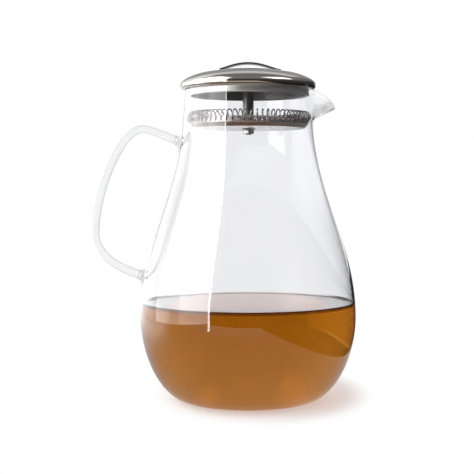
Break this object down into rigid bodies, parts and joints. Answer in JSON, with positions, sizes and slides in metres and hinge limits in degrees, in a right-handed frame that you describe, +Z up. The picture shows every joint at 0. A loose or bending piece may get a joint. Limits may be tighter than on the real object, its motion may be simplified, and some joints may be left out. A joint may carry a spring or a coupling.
{
  "type": "glass pitcher with filter",
  "caption": "Blown glass pitcher with a wide belly, a pulled spout and a fused glass handle, and a steel lid that carries a coil-edged strainer in its neck.",
  "frame": {"origin": "middle of the foot's underside, on the axis of the turned glass", "axes": "+Z up along the pitcher's axis, +X towards the spout, -X towards the handle"},
  "size_m": [0.1841, 0.15, 0.2344],
  "materials": {
    "body_glass": "clear, fire polished",
    "handle_glass": "clear solid rod, fire polished",
    "dome_steel": "mirror polished stainless sheet",
    "plug_steel": "mirror polished stainless sheet",
    "strap_steel": "polished stainless strip",
    "post_steel": "polished stainless tube",
    "screw_steel": "turned stainless",
    "pan_steel": "bright pressed stainless sheet",
    "coil_steel": "bright drawn stainless wire",
    "washer_steel": "stamped stainless",
    "nut_steel": "machined stainless"
  },
  "bodies": {
    "pitcher": {"glass_body": "body_glass", "glass_handle": "handle_glass"},
    "strainer": {"center_post": "post_steel", "clamp_screw": "screw_steel", "strainer_pan": "pan_steel", "strainer_coil": "coil_steel", "washer": "washer_steel", "hex_nut": "nut_steel"},
    "cap": {"lid_dome": "dome_steel", "lid_plug": "plug_steel", "strap_handle": "strap_steel"}
  },
  "joints": [
    {"name": "lid_lift", "type": "slide", "parent": "pitcher", "child": "strainer", "axis": [0, 0, 1], "range_m": [0, 0.06], "deforming": ["strainer_coil"]},
    {"name": "cap_turn", "type": "hinge", "parent": "strainer", "child": "cap", "pos_m": [0, 0, 0.219], "axis": [0, 0, 1], "continuous": true}
  ]
}
